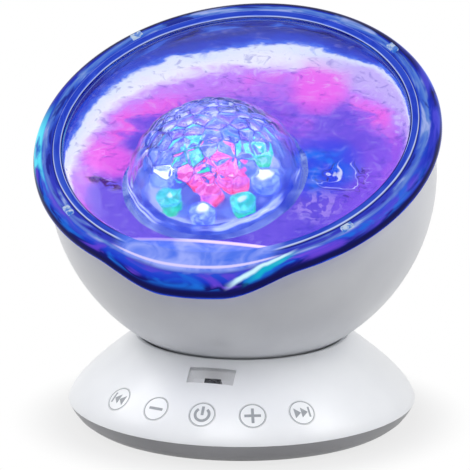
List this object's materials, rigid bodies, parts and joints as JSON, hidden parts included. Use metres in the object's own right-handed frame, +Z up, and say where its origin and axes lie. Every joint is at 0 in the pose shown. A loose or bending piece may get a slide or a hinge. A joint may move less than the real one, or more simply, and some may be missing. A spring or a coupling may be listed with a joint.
{
  "type": "ocean wave projector",
  "caption": "Night light that throws moving water ripples: a ball-shaped lamp head with a clear cover, tilting on a round speaker base with push keys.",
  "frame": {"origin": "on the table, under the middle of the whole object and of its round base", "axes": "+Z up, -Y towards the front with the keys and the leaning cover, +Y to the sockets at the back, +X to the right as seen from the front"},
  "size_m": [0.152, 0.1454, 0.1495],
  "materials": {
    "white_shell": "glossy moulded white",
    "white_keys": "satin white with a printed grey sign",
    "grey_tray": "satin grey",
    "black_rubber": "matte",
    "clear_cover": "clear, lit from inside",
    "clear_dome": "clear and rippled",
    "clear_lens": "clear and polished",
    "smoke_window": "smoky clear",
    "grey_inner": "moulded grey",
    "white_inner": "moulded white",
    "pearl_reflector": "glossy, lit in colours by the lamps",
    "black_inner": "moulded black",
    "steel": "plated",
    "sink_metal": "satin",
    "green_board": "green solder mask",
    "white_board": "white solder mask",
    "red_lamp": "lit red",
    "green_lamp": "lit green",
    "blue_lamp": "lit blue",
    "white_lamp": "lit white"
  },
  "bodies": {
    "base": {"base_tray": "grey_tray", "rubber_feet": "black_rubber", "base_cover": "white_shell", "tray_screws": "steel", "speaker_gasket": "black_rubber", "speaker_frame": "steel", "speaker_cone": "black_inner", "speaker_magnet": "steel", "speaker_screws": "steel", "main_board": "green_board", "board_chips": "black_inner", "board_screws": "steel", "power_socket": "steel", "audio_jack": "black_inner", "card_socket": "steel", "key_board": "green_board", "key_screws": "steel", "tact_switches": "black_inner", "ir_window": "smoke_window", "ir_shroud": "grey_inner", "ir_receiver": "black_inner", "seat_ring": "black_rubber", "tilt_stem": "steel", "tilt_saddle": "grey_inner", "tilt_washers": "steel", "tilt_nut": "steel", "base_lead": "black_rubber"},
    "head": {"bowl": "white_shell", "deck": "white_inner", "deck_screws": "steel", "heat_sink": "sink_metal", "lamp_board": "white_board", "red_lamps": "red_lamp", "green_lamps": "green_lamp", "blue_lamp": "blue_lamp", "white_lamps": "white_lamp", "lamp_lenses": "clear_lens", "gear_motor": "steel", "motor_screws": "steel", "slip_ring": "grey_inner", "reflector": "pearl_reflector", "reflector_screws": "steel", "head_lead": "black_rubber", "cover_lens": "clear_cover", "cover_clips": "clear_cover"},
    "dome": {"drive_ring": "white_inner", "ripple_dome": "clear_dome"},
    "pinion": {"motor_shaft": "steel", "motor_pinion": "white_inner"},
    "previous_key": {"button_previous": "white_keys"},
    "minus_key": {"button_minus": "white_keys"},
    "power_key": {"button_power": "white_keys"},
    "plus_key": {"button_plus": "white_keys"},
    "next_key": {"button_next": "white_keys"}
  },
  "joints": [
    {"name": "head_tilt", "type": "hinge", "parent": "base", "child": "head", "pos_m": [0, 0, 0.09543], "axis": [1, 0, 0], "range_deg": [-28, 0]},
    {"name": "dome_spin", "type": "hinge", "parent": "head", "child": "dome", "pos_m": [-0.011, 0, 0.09543], "axis": [0, -0.5, 0.866], "continuous": true},
    {"name": "pinion_spin", "type": "hinge", "parent": "head", "child": "pinion", "pos_m": [0.031, 0, 0.09543], "axis": [0, -0.5, 0.866], "continuous": true},
    {"name": "press_previous", "type": "slide", "parent": "base", "child": "previous_key", "axis": [0.4126, 0.568, -0.7121], "range_m": [0, 0.0005], "stiffness_N_per_m": 500},
    {"name": "press_minus", "type": "slide", "parent": "base", "child": "minus_key", "axis": [0.2169, 0.6677, -0.7121], "range_m": [0, 0.0005], "stiffness_N_per_m": 500},
    {"name": "press_power", "type": "slide", "parent": "base", "child": "power_key", "axis": [0, 0.702, -0.7121], "range_m": [0, 0.0005], "stiffness_N_per_m": 500},
    {"name": "press_plus", "type": "slide", "parent": "base", "child": "plus_key", "axis": [-0.2169, 0.6677, -0.7121], "range_m": [0, 0.0005], "stiffness_N_per_m": 500},
    {"name": "press_next", "type": "slide", "parent": "base", "child": "next_key", "axis": [-0.4126, 0.568, -0.7121], "range_m": [0, 0.0005], "stiffness_N_per_m": 500}
  ],
  "couplings": [
    {"joint": "pinion_spin", "follows": "dome_spin", "ratio": -5}
  ]
}
